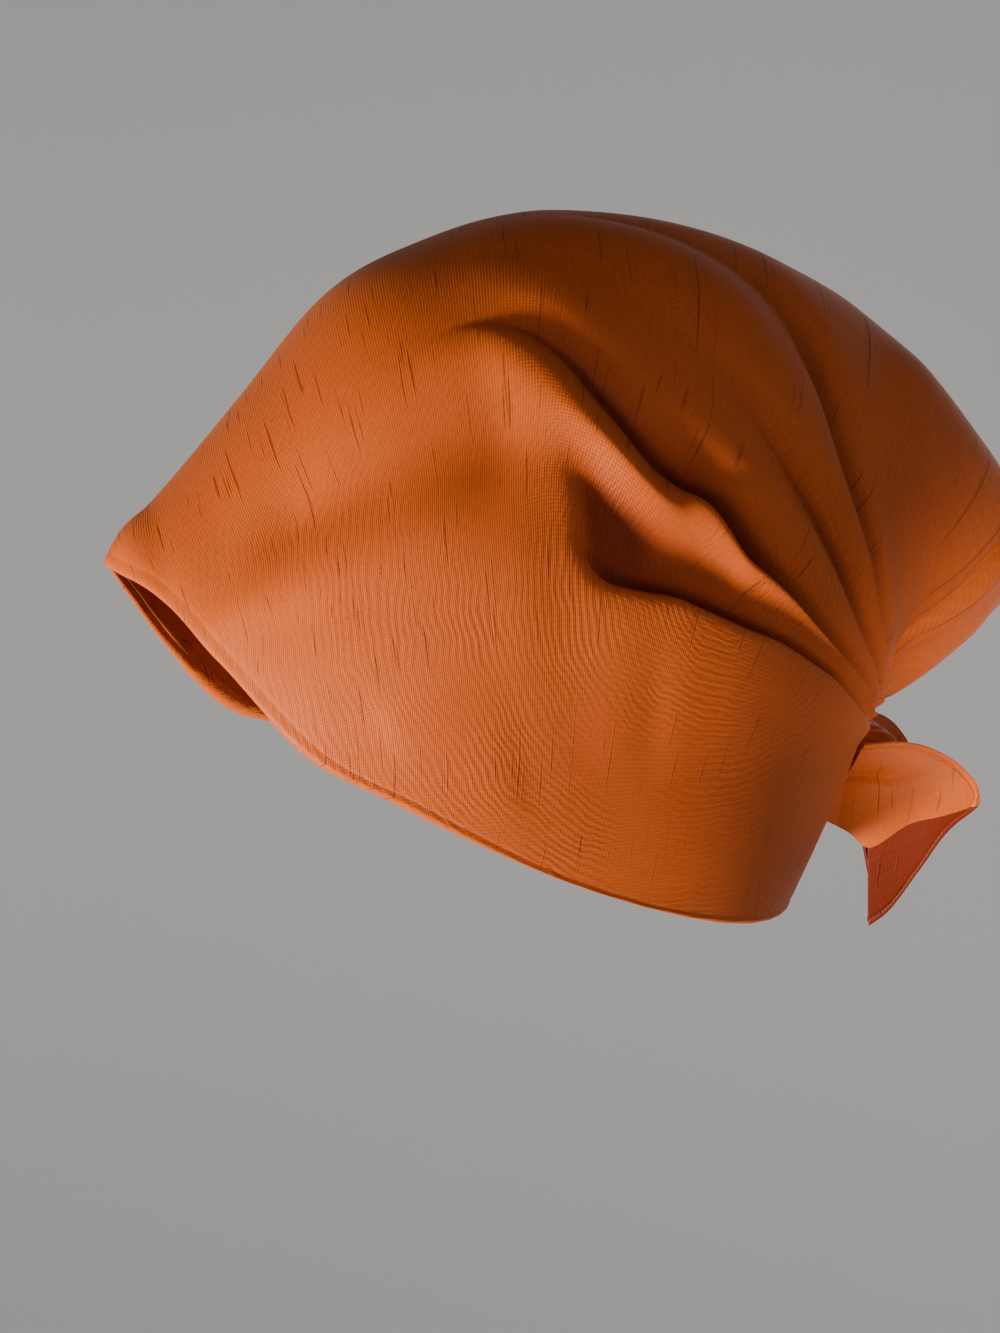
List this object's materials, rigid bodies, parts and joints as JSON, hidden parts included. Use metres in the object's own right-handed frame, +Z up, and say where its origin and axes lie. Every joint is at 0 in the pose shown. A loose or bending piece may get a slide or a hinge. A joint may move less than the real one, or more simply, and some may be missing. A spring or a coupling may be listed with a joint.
{
  "type": "tied cloth head wrap",
  "caption": "Silk head wrap kept in its worn form, with a soft front peak, wide side bands, fanned pleats, a full back pouch, and a knot with short tails at the nape.",
  "frame": {"origin": "inside top of the crown, where it sits on the head", "axes": "+X the wearer's left, -Y the front, +Z up; the long way is front to back along Y and the short way is across the head along X"},
  "size_m": [0.1668, 0.3185, 0.2486],
  "materials": {
    "silk": "slubbed silk with a soft sheen",
    "silk_facing": "slubbed silk, folded inside"
  },
  "bodies": {
    "root": {"crown": "silk", "front_facing": "silk_facing", "knot": "silk", "tail_left": "silk", "tail_right": "silk"}
  },
  "joints": []
}
